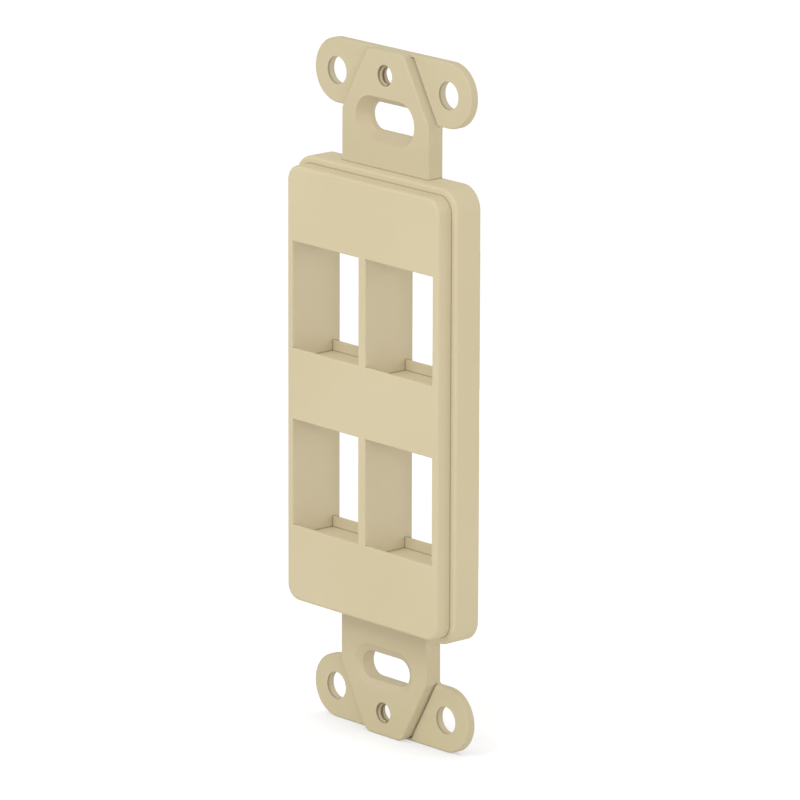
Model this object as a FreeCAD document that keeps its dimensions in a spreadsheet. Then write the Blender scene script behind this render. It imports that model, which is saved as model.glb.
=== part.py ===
# Keystone insert: a moulded plate with four keystone jack ports. It fills the long rectangular
# opening of a decorator wall plate and is screwed to a device box by its strap.
# The front faces -Y, +Z is up, and y = 0 is the flat back of the strap, which lies on the wall.
# The origin is the centre of the screw and ear-hole patterns. Lengths are in millimetres.

import FreeCAD, Part
import Sketcher
import math
import os
import re

doc = FreeCAD.newDocument("keystone_insert")

# Driving dimensions
sizes = doc.addObject("Spreadsheet::Sheet", "sizes")
driving = [
    ("port_width", 14.6, "clear width of a jack port, so that a 14.5 mm wide jack passes"),
    ("port_height", 16.25, "clear height of a jack port"),
    ("port_web", 1.6, "wall between the left and the right ports"),
    ("port_side", 1.25, "face left beside the outer ports"),
    ("row_gap", 10.9, "face between the upper and the lower ports"),
    ("face_end", 11.55, "face above the upper ports and below the lower ones"),
    ("face_rise", 2.6, "face front in front of the flange"),
    ("face_corner", 2.4, "corner radius of the face"),
    ("face_edge", 0.5, "rounding of the face's front edge"),
    ("port_edge", 0.2, "rounding of the ports' front edges"),
    ("flange_lip", 1.1, "flange outside the face, all round"),
    ("flange_depth", 4.65, "flange front to the back of the strap"),
    ("flange_edge", 0.5, "rounding of the flange's front edge"),
    ("sleeve_back", 2.1, "port sleeves behind the back of the strap"),
    ("sleeve_wall", 1.1, "wall of the port sleeves"),
    ("sleeve_bevel", 1.0, "bevel on the sleeves' outer rear edges"),
    ("lip_land", 0.35, "flat of the ports' front lips behind the face front"),
    ("hook_drop", 1.7, "pocket under the clear opening, for the jack's fixed hook"),
    ("latch_rise", 2.2, "pocket over the clear opening, for the jack's spring latch"),
    ("ledge_depth", 1.4, "rear ledges that the hook and the latch catch on"),
    ("ledge_fall", 0.45, "slope of the lower ledge's top, down to the rear"),
    ("front_wall", 2.0, "wall behind the face front, between the ports"),
    ("shell_wall", 1.65, "side wall of the hollow back"),
    ("hollow_corner", 0.8, "corner radius of the hollows in the back"),
    ("round_share", 0.4, "largest corner radius, as a share of the hollow between the rows"),
    ("neck_width", 19.0, "strap above and below the flange"),
    ("neck_depth", 2.8, "thickness of the strap"),
    ("neck_end_width", 7.9, "end of the strap, before its corners are rounded"),
    ("neck_end_corner", 1.8, "corner radius of the strap's ends"),
    ("neck_edge", 0.3, "rounding of the strap's front edges"),
    ("slot_to_flange", 7.32, "flange end to the centre of the device screw slot"),
    ("slot_length", 12.9, "device screw slot at its mouth"),
    ("slot_height", 6.7, "device screw slot at its mouth"),
    ("slot_inset", 1.2, "what the countersink takes off each side of the slot"),
    ("slot_sink", 1.9, "depth of the upper slot's countersink"),
    ("low_slot_sink", 0.6, "depth of the lower slot's countersink, which is shallower"),
    ("thread_to_slot", 6.75, "slot centre to the plate screw hole"),
    ("thread_bore", 3.1, "plate screw hole, at the foot of its thread"),
    ("thread_mouth", 3.2, "plate screw hole at its chamfered mouth"),
    ("thread_length", 1.75, "web that carries the thread"),
    ("relief_bore", 5.8, "round relief behind the plate screw hole"),
    ("ear_depth", 1.3, "thickness of the break-off ears"),
    ("ear_radius", 4.9, "round lobes of the ears"),
    ("ear_bore", 4.2, "holes in the ears"),
    ("ear_span", 24.4, "left ear hole to right ear hole"),
    ("ear_drop", 1.27, "plate screw hole to the height of the ear holes"),
    ("ear_fillet", 0.5, "inner corner between ear and strap"),
    ("ear_edge", 0.25, "rounding of the ears' front edges"),
    ("groove_width", 0.5, "snap-off groove beside the strap's ends"),
    ("groove_depth", 0.6, "snap-off groove, into the ear's front"),
    ("groove_land", 0.4, "ear left beyond the groove's outer end"),
]
derived = [
    ("port_pitch", "=port_width + port_web"),
    ("row_pitch", "=port_height + row_gap"),
    ("port_low", "=row_gap / 2"),
    ("port_high", "=row_gap / 2 + port_height"),
    ("port_outer", "=port_web / 2 + port_width"),
    ("face_width", "=2 * (port_outer + port_side)"),
    ("face_height", "=2 * (port_high + face_end)"),
    ("face_front", "=flange_depth + face_rise"),
    ("flange_width", "=face_width + 2 * flange_lip"),
    ("flange_height", "=face_height + 2 * flange_lip"),
    ("flange_corner", "=face_corner + flange_lip"),
    ("sleeve_half", "=port_outer + sleeve_wall"),
    ("hook_outside", "=hook_drop + sleeve_wall"),
    ("latch_outside", "=latch_rise + sleeve_wall"),
    ("hollow_gap", "=row_gap - hook_outside - latch_outside"),
    ("hollow_round", "=min(hollow_corner; hollow_gap * round_share)"),
    ("hollow_half", "=face_width / 2 - shell_wall"),
    ("hollow_end", "=face_height / 2 - shell_wall"),
    ("slot_place", "=flange_height / 2 + slot_to_flange"),
    ("slot_straight", "=(slot_length - slot_height) / 2"),
    ("thread_place", "=slot_place + thread_to_slot"),
    ("ear_place", "=thread_place - ear_drop"),
    ("ear_inner", "=ear_place - ear_radius"),
    ("ear_outer", "=ear_place + ear_radius"),
    ("groove_start", "=ear_inner - 2 * ear_fillet"),
    ("groove_stop", "=ear_outer - groove_land"),
    ("end_slant", "=(neck_width - neck_end_width) / 2 / (ear_outer - ear_inner)"),
    ("groove_stop_half", "=neck_end_width / 2 + end_slant * groove_land + groove_width"),
]
for row, (name, value, note) in enumerate(driving, start=1):
    sizes.set(f"A{row}", name)
    sizes.set(f"B{row}", str(value))
    sizes.set(f"C{row}", note)
    sizes.setAlias(f"B{row}", name)
for row, (name, formula) in enumerate(derived, start=len(driving) + 1):
    sizes.set(f"A{row}", name)
    sizes.set(f"B{row}", formula)
    sizes.setAlias(f"B{row}", name)
doc.recompute()

body = doc.addObject("PartDesign::Body", "Body")
body.Label = "keystone_insert"
planes = {f.Role: f for f in body.Origin.OriginFeatures}

# Lengths that differ by less than this are the same
NEAR = 1e-4


def tied(formula):
    """A formula of aliases, each read from the sheet."""
    return re.sub(r"[a-z][a-z_]*", r"sizes.\g<0>", formula)


def value(formula):
    return float(body.evalExpression(tied(formula)))


def sketch_on(plane, name, offset="0"):
    """A sketch on one of the body's planes, moved along that plane's normal."""
    sketch = body.newObject("Sketcher::SketchObject", name)
    sketch.AttachmentSupport = [(planes[plane], "")]
    sketch.MapMode = "FlatFace"
    sketch.setExpression("AttachmentOffset.Base.z", tied(offset))
    return sketch


def pin(sketch, geometry, end, across, up):
    """Holds a point of the sketch at two formulas, measured from the sketch's origin."""
    for kind, formula in (("DistanceX", across), ("DistanceY", up)):
        if formula == "0":
            axis = -2 if kind == "DistanceX" else -1
            sketch.addConstraint(Sketcher.Constraint("PointOnObject", geometry, end, axis))
            continue
        at = value(formula)
        index = sketch.addConstraint(Sketcher.Constraint(kind, -1, 1, geometry, end, at))
        sketch.setExpression(f"Constraints[{index}]", tied(formula))


def rounded_corner(sketch, here, before, after, radius):
    """An arc that rounds a corner, as (its number, its end towards before, its end towards after)."""
    back, ahead = (before - here).normalize(), (after - here).normalize()
    half = back.getAngle(ahead) / 2
    centre = here + (back + ahead).normalize() * (radius / math.sin(half))
    angles = []
    for way in (back, ahead):
        spoke = here + way * (radius / math.tan(half)) - centre
        angles.append(math.atan2(spoke.y, spoke.x))
    left_turn = back.cross(ahead).z < 0
    start, end = angles if left_turn else reversed(angles)
    ring = Part.Circle(centre, FreeCAD.Vector(0, 0, 1), radius)
    arc = sketch.addGeometry(Part.ArcOfCircle(ring, start, end if end > start else end + 2 * math.pi))
    return (arc, 1, 2) if left_turn else (arc, 2, 1)


def outline(sketch, corners):
    """A closed outline through corners given as formulas: across, up and, if rounded, a radius."""
    places = [FreeCAD.Vector(value(c[0]), value(c[1]), 0) for c in corners]
    count = len(corners)
    sides = [sketch.addGeometry(Part.LineSegment(places[i], places[(i + 1) % count])) for i in range(count)]
    for i, (across, up, *radius) in enumerate(corners):
        side_before, side_after = sides[i - 1], sides[i]
        if not radius:
            sketch.addConstraint(Sketcher.Constraint("Coincident", side_before, 2, side_after, 1))
            pin(sketch, side_after, 1, across, up)
            continue
        neighbours = places[i - 1], places[(i + 1) % count]
        arc, first, last = rounded_corner(sketch, places[i], *neighbours, value(radius[0]))
        point = sketch.addGeometry(Part.Point(places[i]), True)
        pin(sketch, point, 1, across, up)
        for side, end, arc_end in ((side_before, 2, first), (side_after, 1, last)):
            sketch.addConstraint(Sketcher.Constraint("PointOnObject", point, 1, side))
            sketch.addConstraint(Sketcher.Constraint("Tangent", side, end, arc, arc_end))
        size = sketch.addConstraint(Sketcher.Constraint("Radius", arc, value(radius[0])))
        sketch.setExpression(f"Constraints[{size}]", tied(radius[0]))
    doc.recompute()
    if sketch.solve() != 0:
        raise ValueError(f"{sketch.Name} has no solution")


def rectangle(sketch, across, low, high, *radius):
    """A rectangle as wide as twice across, centred on the sketch's upright axis."""
    left = f"-({across})"
    outline(sketch, [(left, low, *radius), (across, low, *radius), (across, high, *radius), (left, high, *radius)])


def circle(sketch, across, up, bore):
    centre = FreeCAD.Vector(value(across), value(up), 0)
    radius = value(bore) / 2
    index = sketch.addGeometry(Part.Circle(centre, FreeCAD.Vector(0, 0, 1), radius))
    pin(sketch, index, 3, across, up)
    size = sketch.addConstraint(Sketcher.Constraint("Diameter", index, 2 * radius))
    sketch.setExpression(f"Constraints[{size}]", tied(bore))


def stadium(sketch, up, reach, radius):
    """Two half circles at plus and minus reach, joined by straight lines."""
    side, height, round_end = value(reach), value(up), value(radius)
    normal = FreeCAD.Vector(0, 0, 1)
    quarter = math.pi / 2
    right = Part.Circle(FreeCAD.Vector(side, height, 0), normal, round_end)
    left = Part.Circle(FreeCAD.Vector(-side, height, 0), normal, round_end)
    a = sketch.addGeometry(Part.ArcOfCircle(right, -quarter, quarter))
    b = sketch.addGeometry(Part.ArcOfCircle(left, quarter, 3 * quarter))
    corner = [FreeCAD.Vector(x, height + y, 0) for x, y in (
        (side, round_end), (-side, round_end), (-side, -round_end), (side, -round_end))]
    top = sketch.addGeometry(Part.LineSegment(corner[0], corner[1]))
    low = sketch.addGeometry(Part.LineSegment(corner[2], corner[3]))
    for one, end, two, start in ((a, 2, top, 1), (top, 2, b, 1), (b, 2, low, 1), (low, 2, a, 1)):
        sketch.addConstraint(Sketcher.Constraint("Tangent", one, end, two, start))
    sketch.addConstraint(Sketcher.Constraint("Equal", a, b))
    pin(sketch, a, 3, reach, up)
    pin(sketch, b, 3, f"-({reach})", up)
    size = sketch.addConstraint(Sketcher.Constraint("Radius", a, round_end))
    sketch.setExpression(f"Constraints[{size}]", tied(radius))


def feature(kind, name, grows, **given):
    """Adds a feature to the body, computes it and checks that it added or took material."""
    before = body.Shape.Volume if body.Tip else 0.0
    made = body.newObject(f"PartDesign::{kind}", name)
    for prop, setting in given.items():
        if isinstance(setting, str) and prop in ("Length", "Length2", "Radius", "Size"):
            made.setExpression(prop, tied(setting))
        else:
            setattr(made, prop, setting)
    body.Tip = made
    doc.recompute()
    change = body.Shape.Volume - before
    if change * grows <= 0:
        raise ValueError(f"{name} changed the volume by {change:.3f}")
    return made


def edges(wanted):
    """The last feature and the names of its edges whose bounding box is wanted."""
    found = [f"Edge{i}" for i, e in enumerate(body.Tip.Shape.Edges, 1) if wanted(e.BoundBox)]
    if not found:
        raise ValueError("no such edges")
    return (body.Tip, found)


def along_depth(across, up):
    """Edges that run from front to back at plus or minus the given place."""
    x, z = value(across), abs(value(up))
    return edges(lambda b: max(b.XLength, b.ZLength) < NEAR
                 and abs(abs(b.Center.x) - x) < NEAR and abs(abs(b.Center.z) - z) < NEAR)


def in_plane(depth, wanted=lambda b: True):
    """Edges in the plane y = depth whose bounding box is wanted."""
    y = value(depth)
    return edges(lambda b: b.YLength < NEAR and abs(b.Center.y - y) < NEAR and wanted(b))


def within(across, up):
    """A test for boxes no wider or higher than twice the given sizes, round the origin."""
    x, z = value(across) + NEAR, value(up) + NEAR
    return lambda b: max(-b.XMin, b.XMax) < x and max(-b.ZMin, b.ZMax) < z


# Strap and ears: a thin plate with a round lobe at each corner, grooved beside the strap's ends
strap = sketch_on("XZ_Plane", "strap_outline")
half_neck, half_end = "neck_width / 2", "neck_end_width / 2"
outline(strap, [
    (f"-{half_neck}", "-ear_inner"), (f"-{half_end}", "-ear_outer", "neck_end_corner"),
    (half_end, "-ear_outer", "neck_end_corner"), (half_neck, "-ear_inner"),
    (half_neck, "ear_inner"), (half_end, "ear_outer", "neck_end_corner"),
    (f"-{half_end}", "ear_outer", "neck_end_corner"), (f"-{half_neck}", "ear_inner"),
])
feature("Pad", "thin_strap", 1, Profile=strap, Length="ear_depth")
ears = sketch_on("XZ_Plane", "ear_outline")
for end in ("", "-"):
    stadium(ears, f"{end}ear_place", "ear_span / 2", "ear_radius")
feature("Pad", "ear_plates", 1, Profile=ears, Length="ear_depth")
feature("Fillet", "ear_corners", 1, Base=along_depth(half_neck, "ear_inner"), Radius="ear_fillet")
feature("Fillet", "ear_rounding", -1, Base=in_plane("-ear_depth"), Radius="ear_edge")
groove = sketch_on("XZ_Plane", "snap_groove", "ear_depth")
wide_neck = f"({half_neck} + groove_width)"
for end in ("", "-"):
    outline(groove, [
        (f"-{wide_neck}", f"{end}groove_start"), (wide_neck, f"{end}groove_start"),
        (wide_neck, f"{end}ear_inner"), ("groove_stop_half", f"{end}groove_stop"),
        ("-groove_stop_half", f"{end}groove_stop"), (f"-{wide_neck}", f"{end}ear_inner"),
    ])
feature("Pocket", "snap_grooves", -1, Profile=groove, Length="groove_depth")
feature("Pad", "strap_plate", 1, Profile=strap, Length="neck_depth")
feature("Fillet", "strap_edge", -1, Base=in_plane("-neck_depth"), Radius="neck_edge")

# Flange and raised face
flange = sketch_on("XZ_Plane", "flange_outline")
rectangle(flange, "flange_width / 2", "-flange_height / 2", "flange_height / 2", "flange_corner")
feature("Pad", "flange_block", 1, Profile=flange, Length="flange_depth")
face = sketch_on("XZ_Plane", "face_outline")
rectangle(face, "face_width / 2", "-face_height / 2", "face_height / 2", "face_corner")
feature("Pad", "face_block", 1, Profile=face, Length="face_front")
feature("Fillet", "face_rounding", -1, Base=in_plane("-face_front"), Radius="face_edge")
on_face = within("face_width / 2", "face_height / 2")
flange_front = in_plane("-flange_depth", lambda b: not on_face(b))
feature("Fillet", "flange_rounding", -1, Base=flange_front, Radius="flange_edge")

# Port sleeves: one block behind each row of ports, bevelled round its rear edge
sleeves = sketch_on("XZ_Plane", "sleeve_outline")
upper_row = ("port_low - hook_outside", "port_high + latch_outside")
lower_row = ("-port_high - hook_outside", "-port_low + latch_outside")
for low, high in (upper_row, lower_row):
    rectangle(sleeves, "sleeve_half", low, high)
feature("Pad", "sleeve_blocks", 1, Profile=sleeves, Length="sleeve_back", Reversed=True)
feature("Chamfer", "sleeve_bevels", -1, Base=in_plane("sleeve_back"), Size="sleeve_bevel")

# Hollow back: the spaces above, between and below the sleeves
hollows = sketch_on("XZ_Plane", "hollow_outline")
spaces = ((upper_row[1], "hollow_end"), (lower_row[1], upper_row[0]), ("-hollow_end", lower_row[0]))
for low, high in spaces:
    rectangle(hollows, "hollow_half", low, high, "hollow_round")
feature("Pocket", "hollow_back", -1, Profile=hollows, Length="face_front - front_wall", Reversed=True)

# Ports: one side section with a hook pocket below and a latch pocket above, cut four times
port = sketch_on("YZ_Plane", "port_section", "port_web / 2")
front, back = "-face_front", "sleeve_back"
lip, ledge = "lip_land - face_front", "sleeve_back - ledge_depth"
outline(port, [
    (front, "port_low"), (lip, "port_low"),
    (f"{lip} + hook_drop", "port_low - hook_drop"), (ledge, "port_low - hook_drop"),
    (ledge, "port_low"), (back, "port_low - ledge_fall"),
    (back, "port_high"), (ledge, "port_high"),
    (ledge, "port_high + latch_rise"), (f"{lip} + latch_rise", "port_high + latch_rise"),
    (lip, "port_high"), (front, "port_high"),
])
first_port = feature("Pocket", "first_port", -1, Profile=port, Length="port_width", Reversed=True)
feature("LinearPattern", "ports", -1, Originals=[first_port], Length="port_pitch", Length2="row_pitch",
        Direction=(planes["X_Axis"], [""]), Direction2=(planes["Z_Axis"], [""]),
        Reversed=True, Reversed2=True, Occurrences=2, Occurrences2=2)
feature("Fillet", "port_rounding", -1,
        Base=in_plane("-face_front", within("port_outer", "port_high")), Radius="port_edge")

# Device screw slots: a countersunk mouth and a straight slot through the strap
slots = (("upper_slot", "slot_place", "slot_sink"), ("lower_slot", "-slot_place", "low_slot_sink"))
for name, place, sunk in slots:
    mouth = sketch_on("XZ_Plane", f"{name}_mouth", "neck_depth")
    stadium(mouth, place, "slot_straight", "slot_height / 2")
    foot = sketch_on("XZ_Plane", f"{name}_foot", f"neck_depth - {sunk}")
    stadium(foot, place, "slot_straight", "slot_height / 2 - slot_inset")
    feature("SubtractiveLoft", f"{name}_countersink", -1, Profile=mouth, Sections=[(foot, [""])], Ruled=True)
    feature("Pocket", name, -1, Profile=foot, Type="ThroughAll")

# Plate screw holes: chamfered mouth, threaded web and a round relief in the back of the strap
bore = sketch_on("YZ_Plane", "screw_hole_section")
axis = "thread_place"
chamfer_foot = "(thread_mouth - thread_bore) / 2 - neck_depth"
outline(bore, [
    ("-neck_depth", axis), ("-neck_depth", f"{axis} + thread_mouth / 2"),
    (chamfer_foot, f"{axis} + thread_bore / 2"),
    ("thread_length - neck_depth", f"{axis} + thread_bore / 2"),
    ("thread_length - neck_depth", f"{axis} + relief_bore / 2"),
    ("0", f"{axis} + relief_bore / 2"), ("0", axis),
])
hole = feature("Groove", "screw_hole", -1, Profile=bore, ReferenceAxis=(bore, ["Edge7"]), Angle=360)
feature("Mirrored", "second_screw_hole", -1, Originals=[hole], MirrorPlane=(planes["XY_Plane"], [""]))

# Holes in the ears
ear_holes = sketch_on("XZ_Plane", "ear_hole_places", "ear_depth")
for side in ("-ear_span / 2", "ear_span / 2"):
    for end in ("-ear_place", "ear_place"):
        circle(ear_holes, side, end, "ear_bore")
feature("Pocket", "ear_holes", -1, Profile=ear_holes, Type="ThroughAll")

# Checks
failed = [o.Name for o in doc.Objects if {"Invalid", "Error"} & set(o.State)]
if failed:
    raise ValueError(f"these features failed: {failed}")
shape = body.Shape
if shape.isNull() or not shape.isValid() or len(shape.Solids) != 1:
    raise ValueError("the insert is not one valid solid")
box = shape.optimalBoundingBox(False, False)
print("insert", round(box.XLength, 2), round(box.YLength, 2), round(box.ZLength, 2),
      "mm, volume", round(shape.Volume / 1000, 3), "cm3")
print("device screw slots", round(2 * value("slot_place"), 3),
      "plate screw holes", round(2 * value("thread_place"), 3), "mm apart")

os.makedirs("parts", exist_ok=True)
body.Shape.exportStep(f"parts/{body.Label}.step")
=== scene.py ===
# %% [markdown]
# # A keystone insert in ivory ABS
#
# The object is the insert of a wall plate: one upright moulding with jack ports in a raised face, a
# strap that is screwed to a device box, and thin ears that can be snapped off. Its shape is exact
# and comes from the CAD model, so this lesson is about what turns that shape into a believable
# object: a plastic that looks moulded, the turns of thread in two small holes, soft light and a
# camera that stands where the photographer stood.

# %% Load the fixed model
import math

import bmesh
import bpy
from mathutils import Matrix, Vector


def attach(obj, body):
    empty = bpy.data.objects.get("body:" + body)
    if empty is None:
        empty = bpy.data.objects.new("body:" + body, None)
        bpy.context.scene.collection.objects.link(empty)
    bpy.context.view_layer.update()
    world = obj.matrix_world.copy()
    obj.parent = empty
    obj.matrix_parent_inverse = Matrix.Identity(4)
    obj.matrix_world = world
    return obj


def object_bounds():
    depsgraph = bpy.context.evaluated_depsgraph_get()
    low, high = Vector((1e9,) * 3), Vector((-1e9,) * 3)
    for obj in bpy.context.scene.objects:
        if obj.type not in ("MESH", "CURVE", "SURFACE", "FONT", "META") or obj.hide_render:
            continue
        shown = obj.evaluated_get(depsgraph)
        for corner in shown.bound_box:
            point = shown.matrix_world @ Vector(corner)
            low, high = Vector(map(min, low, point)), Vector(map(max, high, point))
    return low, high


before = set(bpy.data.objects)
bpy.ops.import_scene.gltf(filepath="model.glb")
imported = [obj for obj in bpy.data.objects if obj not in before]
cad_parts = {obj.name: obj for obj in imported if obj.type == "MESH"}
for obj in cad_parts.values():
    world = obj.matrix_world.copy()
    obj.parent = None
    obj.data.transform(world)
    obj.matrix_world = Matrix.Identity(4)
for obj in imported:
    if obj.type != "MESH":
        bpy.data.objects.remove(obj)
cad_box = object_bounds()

MM = 0.001
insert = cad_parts["keystone_insert"]
lowest, highest = ([round(v / MM, 2) for v in corner] for corner in cad_box)
print("insert from", lowest, "to", highest, "mm")

# %% [markdown]
# ## Colours and nodes
#
# A colour picked on a screen is an sRGB value, but the renderer counts in linear light, so one
# function converts every hex colour. A second small function adds a shader node with its settings
# and its inputs at once, which keeps a material as short as a recipe.

# %% Two helpers for materials
def linear(hex_colour):
    """A colour written as #RRGGBB, as linear red, green, blue and alpha."""
    parts = [int(hex_colour[i:i + 2], 16) / 255 for i in (1, 3, 5)]
    return [p / 12.92 if p <= 0.04045 else ((p + 0.055) / 1.055) ** 2.4 for p in parts] + [1.0]


def add(tree, kind, settings, inputs):
    """Adds a node. Its inputs go by name or number, and each gets a value or is linked to a socket."""
    node = tree.nodes.new(kind)
    for name, setting in settings.items():
        setattr(node, name, setting)
    for key, given in inputs.items():
        if isinstance(given, bpy.types.NodeSocket):
            tree.links.new(given, node.inputs[key])
        else:
            node.inputs[key].default_value = given
    return node


def new_material(name):
    """An empty material and its node tree."""
    material = bpy.data.materials.new(name)
    material.use_nodes = True
    material.node_tree.nodes.clear()
    return material, material.node_tree


print("white is", linear("#FFFFFF")[:3], "in linear light")

# %% [markdown]
# ## Moulded ABS
#
# Inserts of this kind are usually ABS, coloured ivory right through and shot into a steel mould. The
# colour of such a part is nearly even, with a very slow drift where the melt cooled at different
# speeds. A single flat colour would look like paint, so a noise pattern with features a few
# centimetres wide moves between two close tones.
#
# The strap and the ears are drawn a little darker than the face; why isn't known. So the plastic gets
# two pairs of tones, and the height tells where the strap begins. Every place is mirrored into one
# quarter of the object first, because its halves are alike and one set of sizes then serves both.

# %% The ivory plastic
TONE_DRIFT = 22 * MM                    # how far apart the slow changes of tone are
USUAL_NOISE = (0.35, 0.65)              # the noise rarely leaves this range
FLANGE_END = 34.35 * MM                 # the strap and the ears begin above and below this height
BLUR = 0.1 * MM                         # over which one tone turns into the other
FACE_TONES = ("#D8CAA5", "#DBCDA9")
STRAP_TONES = ("#CFC29E", "#D2C5A2")

ivory, tree = new_material("ivory_moulded_abs")
place = add(tree, "ShaderNodeTexCoord", {}, {}).outputs["Object"]
drift = add(
    tree, "ShaderNodeTexNoise", {},
    {"Vector": place, "Scale": 1 / TONE_DRIFT, "Detail": 1.0, "Roughness": 0.4})
slow = add(
    tree, "ShaderNodeMapRange", {},
    {"Value": drift.outputs["Fac"], "From Min": USUAL_NOISE[0], "From Max": USUAL_NOISE[1]})
on_face = add(
    tree, "ShaderNodeMix", {"data_type": "RGBA"},
    {"Factor": slow.outputs["Result"], 6: linear(FACE_TONES[0]), 7: linear(FACE_TONES[1])})
on_strap = add(
    tree, "ShaderNodeMix", {"data_type": "RGBA"},
    {"Factor": slow.outputs["Result"], 6: linear(STRAP_TONES[0]), 7: linear(STRAP_TONES[1])})
mirrored = add(tree, "ShaderNodeVectorMath", {"operation": "ABSOLUTE"}, {0: place})
halves = add(tree, "ShaderNodeSeparateXYZ", {}, {"Vector": mirrored.outputs["Vector"]})
past_flange = add(
    tree, "ShaderNodeMapRange", {},
    {"Value": halves.outputs["Z"], "From Min": FLANGE_END, "From Max": FLANGE_END + BLUR})
outside = add(
    tree, "ShaderNodeMix", {"data_type": "RGBA"},
    {"Factor": past_flange.outputs["Result"], 6: on_face.outputs[2], 7: on_strap.outputs[2]})
print("two pairs of tones, which change", round(FLANGE_END / MM, 2), "mm from the middle")

# %% [markdown]
# ## Painted shade inside ports and slots
#
# The insides of the ports and the slots are drawn paler and greyer than the front: this is painted
# shade, the colour that the shade deep in there takes. A mask painted by hand would have to be redone
# for every change of shape, so the Ambient Occlusion node finds these places: it tells how much of the
# surroundings within a set reach is open. The reach is a little more than a port's height.

# %% Painted shade: paler and greyer inside ports and slots
SHELTER_REACH = 20 * MM
SHELTERED, OPEN = 0.35, 0.85            # share of open surroundings, deep inside and outside
# the painted shade colour of the insides of ports and slots
INNER_SHADE_TONE = "#DFD5BA"

shelter = add(
    tree, "ShaderNodeAmbientOcclusion", {"samples": 16, "only_local": True}, {"Distance": SHELTER_REACH})
open_sky = add(
    tree, "ShaderNodeMapRange", {},
    {"Value": shelter.outputs["AO"], "From Min": SHELTERED, "From Max": OPEN})
# painted shade: mixed in where the surroundings are closed
inner_shade_painted = add(
    tree, "ShaderNodeMix", {"data_type": "RGBA"},
    {"Factor": open_sky.outputs["Result"], 6: linear(INNER_SHADE_TONE), 7: outside.outputs[2]})
print("shelter is looked for within", round(SHELTER_REACH / MM, 1), "mm")

# %% [markdown]
# ## Painted shade on the walls of holes and slots
#
# The walls of the slots and of the ear holes are drawn a little darker and redder than the strap, and
# the threads in the two small holes dark, most of all in their grooves: painted shade, for the shade
# that falls in there. The mesh has no mark for these walls, but each lies at a known distance from its
# hole's axis, so the material works out that distance. A slot is a hole that is drawn out sideways, so
# its distance counts from a line.

# %% How far a point is from a hole's axis
FREELY = -1                             # a metre the other way, so that MAXIMUM leaves the value alone


def from_axis(across, height, long_hole=False):
    """Distance from an axis along Y in all four quarters, or from the line between two such axes."""
    least = (0, FREELY, FREELY) if long_hole else (FREELY, FREELY, FREELY)
    offset = add(
        tree, "ShaderNodeVectorMath", {"operation": "SUBTRACT"},
        {0: mirrored.outputs["Vector"], 1: (across, 0, height)})
    straight = add(
        tree, "ShaderNodeVectorMath", {"operation": "MAXIMUM"}, {0: offset.outputs["Vector"], 1: least})
    in_plane = add(
        tree, "ShaderNodeVectorMath", {"operation": "MULTIPLY"},
        {0: straight.outputs["Vector"], 1: (1, 0, 1)})
    length = add(tree, "ShaderNodeVectorMath", {"operation": "LENGTH"}, {0: in_plane.outputs["Vector"]})
    return length.outputs["Value"]


EAR_AXIS = (12.2 * MM, 47.15 * MM)      # across and height
EAR_BORE = 2.1 * MM
SLOT_AXIS = (3.1 * MM, 41.67 * MM)      # the middle of a slot's round end
SLOT_MOUTH = 3.35 * MM                  # radius of that end at the front
HOLE_HEIGHT = 48.42 * MM                # a plate screw hole's axis, above and below the middle
BORE = 1.55 * MM                        # radius at the foot of the thread
CREST = 1.25 * MM                       # and at its crest
MARGIN = 0.02 * MM                      # keeps a surface that lies at a limit safely on its own side
SOFT_EDGE = 0.05 * MM                   # over which the tone changes beside a hole's wall

in_ear = from_axis(*EAR_AXIS)
in_slot = from_axis(*SLOT_AXIS, long_hole=True)
in_hole = from_axis(0, HOLE_HEIGHT)
print("plate screw holes", round(2 * HOLE_HEIGHT / MM, 2), "mm apart")

# %% Painted shade on the walls of the slots and the ear holes
# painted shade colour of the walls of the slots and ear holes
WALL_SHADE_TONE = "#CEC1A1"
NEAR = 0.03 * MM                        # the mesh's facets lie this near to the true round wall
BACK_FACE = -0.02 * MM                  # the back of the strap is at 0 and isn't a wall

depth = add(tree, "ShaderNodeSeparateXYZ", {}, {"Vector": place})
off_ear_wall = add(tree, "ShaderNodeMath", {"operation": "GREATER_THAN"}, {0: in_ear, 1: EAR_BORE + NEAR})
off_slot_wall = add(
    tree, "ShaderNodeMapRange", {},
    {"Value": in_slot, "From Min": SLOT_MOUTH - SOFT_EDGE, "From Max": SLOT_MOUTH})
off_walls = add(
    tree, "ShaderNodeMath", {"operation": "MINIMUM"},
    {0: off_ear_wall.outputs["Value"], 1: off_slot_wall.outputs["Result"]})
on_back = add(tree, "ShaderNodeMath", {"operation": "GREATER_THAN"}, {0: depth.outputs["Y"], 1: BACK_FACE})
not_wall = add(
    tree, "ShaderNodeMath", {"operation": "MAXIMUM"},
    {0: off_walls.outputs["Value"], 1: on_back.outputs["Value"]})
# painted shade: the walls get the darker, redder tone
wall_shade_painted = add(
    tree, "ShaderNodeMix", {"data_type": "RGBA"},
    {"Factor": not_wall.outputs["Value"], 6: linear(WALL_SHADE_TONE), 7: inner_shade_painted.outputs[2]})
print("ear holes", round(2 * EAR_BORE / MM, 2), "mm wide")

# %% Painted shade in the threads
# painted shade: the thread in the plate screw holes is dark, darkest in its grooves
CREST_SHADE_TONE, GROOVE_SHADE_TONE = "#CCBF9C", "#A09374"

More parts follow.
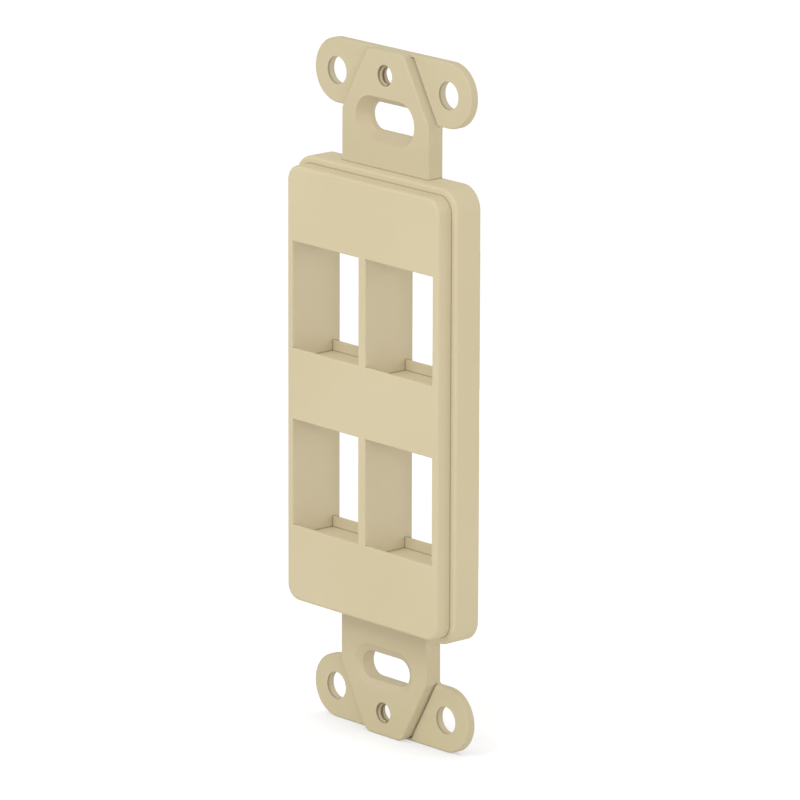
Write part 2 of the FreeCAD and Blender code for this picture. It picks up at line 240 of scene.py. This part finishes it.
in_groove = add(
    tree, "ShaderNodeMapRange", {},
    {"Value": in_hole, "From Min": CREST + MARGIN, "From Max": BORE - SOFT_EDGE})
thread_shade_tone = add(
    tree, "ShaderNodeMix", {"data_type": "RGBA"},
    {"Factor": in_groove.outputs["Result"], 6: linear(CREST_SHADE_TONE), 7: linear(GROOVE_SHADE_TONE)})
past_bore = add(
    tree, "ShaderNodeMapRange", {},
    {"Value": in_hole, "From Min": BORE + MARGIN, "From Max": BORE + MARGIN + SOFT_EDGE})
thread_shade_painted = add(
    tree, "ShaderNodeMix", {"data_type": "RGBA"},
    {"Factor": past_bore.outputs["Result"], 6: thread_shade_tone.outputs[2], 7: wall_shade_painted.outputs[2]})
print("thread from", round(2 * CREST / MM, 2), "to", round(2 * BORE / MM, 2), "mm wide")

# %% [markdown]
# ## Painted shade lines
#
# Where two faces meet in an inside corner, shade gathers and the eye reads a thin dark line; here it is
# painted shade. The Ambient Occlusion node finds these corners too, now with a reach of a quarter of a
# millimetre; a longer one would give wide smudges. A painted line of shade also runs just inside the
# front rim of each ear hole, where no corner is, so that one is told by its depth.

# %% Painted shade in inside corners and at the rims of the ear holes
CREASE_REACH = 0.25 * MM
IN_CORNER, IN_OPEN = 0.4, 1.0           # share of open surroundings, in a corner and on a flat face
EAR_FRONT = -1.3 * MM
RIM_LINE = 0.28 * MM                    # how far back the line goes
# colour of the painted shade lines
SHADE_LINE_TONE = "#A3997D"

crease = add(
    tree, "ShaderNodeAmbientOcclusion", {"samples": 16, "only_local": False}, {"Distance": CREASE_REACH})
flat = add(
    tree, "ShaderNodeMapRange", {},
    {"Value": crease.outputs["AO"], "From Min": IN_CORNER, "From Max": IN_OPEN})
on_front = add(
    tree, "ShaderNodeMath", {"operation": "LESS_THAN"}, {0: depth.outputs["Y"], 1: EAR_FRONT + MARGIN})
behind_line = add(
    tree, "ShaderNodeMapRange", {},
    {"Value": depth.outputs["Y"], "From Min": EAR_FRONT + RIM_LINE, "From Max": EAR_FRONT + 1.5 * RIM_LINE})
clear = add(
    tree, "ShaderNodeMath", {"operation": "MAXIMUM"},
    {0: off_ear_wall.outputs["Value"], 1: on_front.outputs["Value"]})
unlined = add(
    tree, "ShaderNodeMath", {"operation": "MAXIMUM"},
    {0: clear.outputs["Value"], 1: behind_line.outputs["Result"]})
plain = add(
    tree, "ShaderNodeMath", {"operation": "MINIMUM"},
    {0: flat.outputs["Result"], 1: unlined.outputs["Value"]})
# painted shade lines are mixed into the colour here
colour = add(
    tree, "ShaderNodeMix", {"data_type": "RGBA"},
    {"Factor": plain.outputs["Value"], 6: linear(SHADE_LINE_TONE), 7: thread_shade_painted.outputs[2]})
print("lines", round(CREASE_REACH / MM, 2), "and", round(RIM_LINE / MM, 2), "mm wide")

# %% [markdown]
# ## Satin skin
#
# The highlights are broad and weak, as on satin plastic from a finely spark-eroded mould. The grain of
# such a mould is about 0.05 mm, far too fine for a picture with about seven pixels to the millimetre,
# so it is drawn at 0.4 mm, and very shallow. It is a bump in the shader, because a shape so fine would
# need millions of faces. ABS has an IOR of about 1.53, and a satin skin takes away some of its
# mirror-like share of light.

# %% Gloss and grain
GRAIN = 0.4 * MM            # drawn size of the mould grain
GRAIN_DEPTH = 0.006 * MM    # how far it stands out of the surface
SATIN = (0.57, 0.65)        # roughness on the grain's hollows and tops

grain = add(
    tree, "ShaderNodeTexNoise", {}, {"Vector": place, "Scale": 1 / GRAIN, "Detail": 2.0, "Roughness": 0.55})
gloss = add(
    tree, "ShaderNodeMapRange", {}, {"Value": grain.outputs["Fac"], "To Min": SATIN[0], "To Max": SATIN[1]})
skin = add(
    tree, "ShaderNodeBump", {}, {"Height": grain.outputs["Fac"], "Strength": 0.35, "Distance": GRAIN_DEPTH})
plastic = add(
    tree, "ShaderNodeBsdfPrincipled", {},
    {"Base Color": colour.outputs[2], "Roughness": gloss.outputs["Result"],
     "Normal": skin.outputs["Normal"], "IOR": 1.53, "Specular IOR Level": 0.35})
add(tree, "ShaderNodeOutputMaterial", {}, {"Surface": plastic.outputs["BSDF"]})

insert.data.materials.clear()
insert.data.materials.append(ivory)
print("ivory plastic on", insert.name, "with", len(insert.data.polygons), "faces")

# %% [markdown]
# ## Threads in the plate screw holes
#
# The wall plate is held by two small machine screws, so a thread is cut in each hole of the strap.
# The CAD model leaves these bores plain. A bump would do for a front view, but the holes are looked
# into from the side, so the thread is a real ridge that winds round the wall. The natural tool is the
# spin operator: it turns a small profile about the bore's axis, and its offset moves the profile
# along the axis as it turns. The ridge starts inside the wall, so that no gap shows between the two,
# and it ends where the web that carries the thread ends.

# %% Wind the two threads
PITCH = 25.4 / 32 * MM          # 32 turns to the inch
ROOT_HALF = 0.21 * MM           # half the ridge's width at the wall
CREST_HALF = 0.13 * MM          # and at its crest
SUNK = 0.06 * MM                # how deep the ridge starts inside the wall
WEB_FRONT, WEB_BACK = -2.75 * MM, -1.05 * MM
STEPS_PER_TURN = 40
START = math.radians(71)        # the ridge starts here, so that two turns show on the left


def thread(name, height):
    """A ridge that winds round a bore along Y, centred at the given height."""
    travel = WEB_BACK - WEB_FRONT - 2 * ROOT_HALF
    turns = travel / PITCH
    steps = round(turns * STEPS_PER_TURN)
    start = WEB_FRONT + ROOT_HALF
    root = BORE + SUNK
    corners = [(root, -ROOT_HALF), (CREST, -CREST_HALF), (CREST, CREST_HALF), (root, ROOT_HALF)]
    mesh = bmesh.new()
    points = [mesh.verts.new((across, start + along, height)) for across, along in corners]
    profile = mesh.faces.new(points)
    bmesh.ops.rotate(mesh, verts=points, cent=(0, 0, height), matrix=Matrix.Rotation(START, 3, "Y"))
    bmesh.ops.spin(
        mesh, geom=[profile], cent=(0, 0, height), axis=(0, 1, 0), dvec=(0, travel / steps, 0),
        angle=turns * math.tau, steps=steps)
    bmesh.ops.remove_doubles(mesh, verts=mesh.verts, dist=0.0001 * MM)
    bmesh.ops.recalc_face_normals(mesh, faces=mesh.faces)
    open_edges = sum(1 for e in mesh.edges if len(e.link_faces) != 2)
    data = bpy.data.meshes.new(name)
    mesh.to_mesh(data)
    mesh.free()
    data.materials.append(ivory)
    piece = bpy.data.objects.new(name, data)
    bpy.context.scene.collection.objects.link(piece)
    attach(piece, "root")
    print(name, round(turns, 2), "turns,", len(data.polygons), "faces,", open_edges, "open edges")


thread("thread_upper", HOLE_HEIGHT)
thread("thread_lower", -HOLE_HEIGHT)

# %% [markdown]
# ## White room
#
# The photograph is a cut-out look: the object stands on white, with only a breath of shadow under
# its lower ears. More light would make everything white, but it would bleach the plastic too. So the
# room is a plain white world in which Light Path tells the shader which rays come from the camera:
# the background is white to the eye, while the light that reaches the plastic stays at a plain level.

# %% World
ROOM_LIGHT = 0.535


def seen_rays(tree):
    """1 for rays from the camera and from mirror-like or clear surfaces."""
    path = add(tree, "ShaderNodeLightPath", {}, {})
    two = add(
        tree, "ShaderNodeMath", {"operation": "MAXIMUM"},
        {0: path.outputs["Is Camera Ray"], 1: path.outputs["Is Glossy Ray"]})
    three = add(
        tree, "ShaderNodeMath", {"operation": "MAXIMUM"},
        {0: two.outputs["Value"], 1: path.outputs["Is Transmission Ray"]})
    return three.outputs["Value"]


world = bpy.data.worlds.new("white_room")
bpy.context.scene.world = world
world.use_nodes = True
tree = world.node_tree
tree.nodes.clear()
dim = add(tree, "ShaderNodeBackground", {}, {"Color": linear("#FFFFFF"), "Strength": ROOM_LIGHT})
white = add(tree, "ShaderNodeBackground", {}, {"Color": linear("#FFFFFF"), "Strength": 1.0})
room = add(
    tree, "ShaderNodeMixShader", {},
    {"Fac": seen_rays(tree), 1: dim.outputs["Background"], 2: white.outputs["Background"]})
add(tree, "ShaderNodeOutputWorld", {}, {"Surface": room.outputs["Shader"]})
print("room light", ROOM_LIGHT)

# %% [markdown]
# ## Floor
#
# The floor does the same as the room: light that goes on to the plastic finds plain pale paint, and
# the camera finds a darker paint that glows a little, so that it is white everywhere but in the
# shadow. The glow weakens where the object is near, which deepens the small shadow round the lower
# ears. How near it is comes from the Ambient Occlusion node once more.

# %% Floor paint
FLOOR_GLOW = 0.82           # of open floor
SHADOW_GLOW = 0.55          # under and close to the ears
CONTACT_REACH = 12 * MM
UNDER_EARS = 0.3            # share of open surroundings there
LIT_PAINT = "#F8F8F8"       # for the light that goes on to the plastic
SEEN_PAINT = "#9A9A9A"      # for the camera

floor_paint, tree = new_material("white_floor_paint")
matt = add(tree, "ShaderNodeBsdfDiffuse", {}, {"Color": linear(LIT_PAINT)})
near = add(
    tree, "ShaderNodeAmbientOcclusion", {"samples": 16, "only_local": False}, {"Distance": CONTACT_REACH})
contact = add(
    tree, "ShaderNodeMapRange", {},
    {"Value": near.outputs["AO"], "From Min": UNDER_EARS, "From Max": 1.0,
     "To Min": SHADOW_GLOW, "To Max": FLOOR_GLOW})
glow = add(
    tree, "ShaderNodeEmission", {}, {"Color": linear("#FFFFFF"), "Strength": contact.outputs["Result"]})
dim_matt = add(tree, "ShaderNodeBsdfDiffuse", {}, {"Color": linear(SEEN_PAINT)})
seen = add(tree, "ShaderNodeAddShader", {}, {0: dim_matt.outputs["BSDF"], 1: glow.outputs["Emission"]})
paint = add(
    tree, "ShaderNodeMixShader", {},
    {"Fac": seen_rays(tree), 1: matt.outputs["BSDF"], 2: seen.outputs["Shader"]})
add(tree, "ShaderNodeOutputMaterial", {}, {"Surface": paint.outputs["Shader"]})
print("floor glow", FLOOR_GLOW, "and", SHADOW_GLOW, "in the shadow")

# %% Floor under the lower ears
FLOOR_HALF = 1.5            # metres from the middle to each side

floor_mesh = bmesh.new()
bmesh.ops.create_grid(
    floor_mesh, x_segments=1, y_segments=1, size=FLOOR_HALF,
    matrix=Matrix.Translation((0, 0, cad_box[0].z)))
data = bpy.data.meshes.new("floor")
floor_mesh.to_mesh(data)
floor_mesh.free()
data.materials.append(floor_paint)
floor = bpy.data.objects.new("floor", data)
bpy.context.scene.collection.objects.link(floor)
print("floor at", round(cad_box[0].z / MM, 2), "mm")

# %% [markdown]
# ## Light
#
# The light is that of a product table, with three soft boxes. A large one stands high in front and
# lights the face, the tops and the floors of the ports. A smaller one stands to the right of the
# camera. It looks into the ports, and the thin shadows that it throws to the left make the strap
# stand off the ears. A third, behind on the right, shines through the ports onto the rear part of
# their side walls. All of them are far away for so small an object, so its two ends get nearly the
# same light.

# %% Three soft boxes
def soft_box(name, place_mm, side_mm, watts):
    """A square soft box that looks at the middle of the insert."""
    lamp = bpy.data.lights.new(name, "AREA")
    lamp.shape = "SQUARE"
    lamp.size = side_mm * MM
    lamp.energy = watts
    box = bpy.data.objects.new(name, lamp)
    box.location = Vector(place_mm) * MM
    box.rotation_euler = box.location.to_track_quat("Z", "Y").to_euler()
    bpy.context.scene.collection.objects.link(box)
    print(name, watts, "W at", place_mm, "mm")


soft_box("high_box", (0, -535, 595), 450, 2.4)
soft_box("side_box", (658, -411, 194), 200, 0.8)
soft_box("back_box", (503, 599, 166), 450, 0.93)

# %% [markdown]
# ## Camera
#
# The photograph was taken from the front right and a little above, with a long lens from far away,
# so the uprights stay almost parallel. Three turns give the direction: round the vertical, down
# towards the object, and a trace of tilt. The place and the lens were worked out from points whose
# places on the object and in the picture are both known.

# %% The camera
AZIMUTH, ELEVATION, TILT = 48.0791, 14.2599, 0.1771    # degrees
CAMERA_PLACE = (795.348, -713.763, 270.800)            # mm
LENS, SENSOR = 336.131, 36.0                           # mm

view = bpy.data.cameras.new("camera")
view.sensor_width = SENSOR
view.lens = LENS
view.clip_start, view.clip_end = 0.05, 20.0
camera = bpy.data.objects.new("camera", view)
bpy.context.scene.collection.objects.link(camera)
camera.matrix_world = (
    Matrix.Translation(Vector(CAMERA_PLACE) * MM)
    @ Matrix.Rotation(math.radians(AZIMUTH), 4, "Z")
    @ Matrix.Rotation(math.radians(90 - ELEVATION), 4, "X")
    @ Matrix.Rotation(math.radians(TILT), 4, "Z"))
bpy.context.scene.camera = camera
bpy.context.scene.view_settings.view_transform = "Standard"
print("camera", round(camera.location.length, 3), "m from the centre")
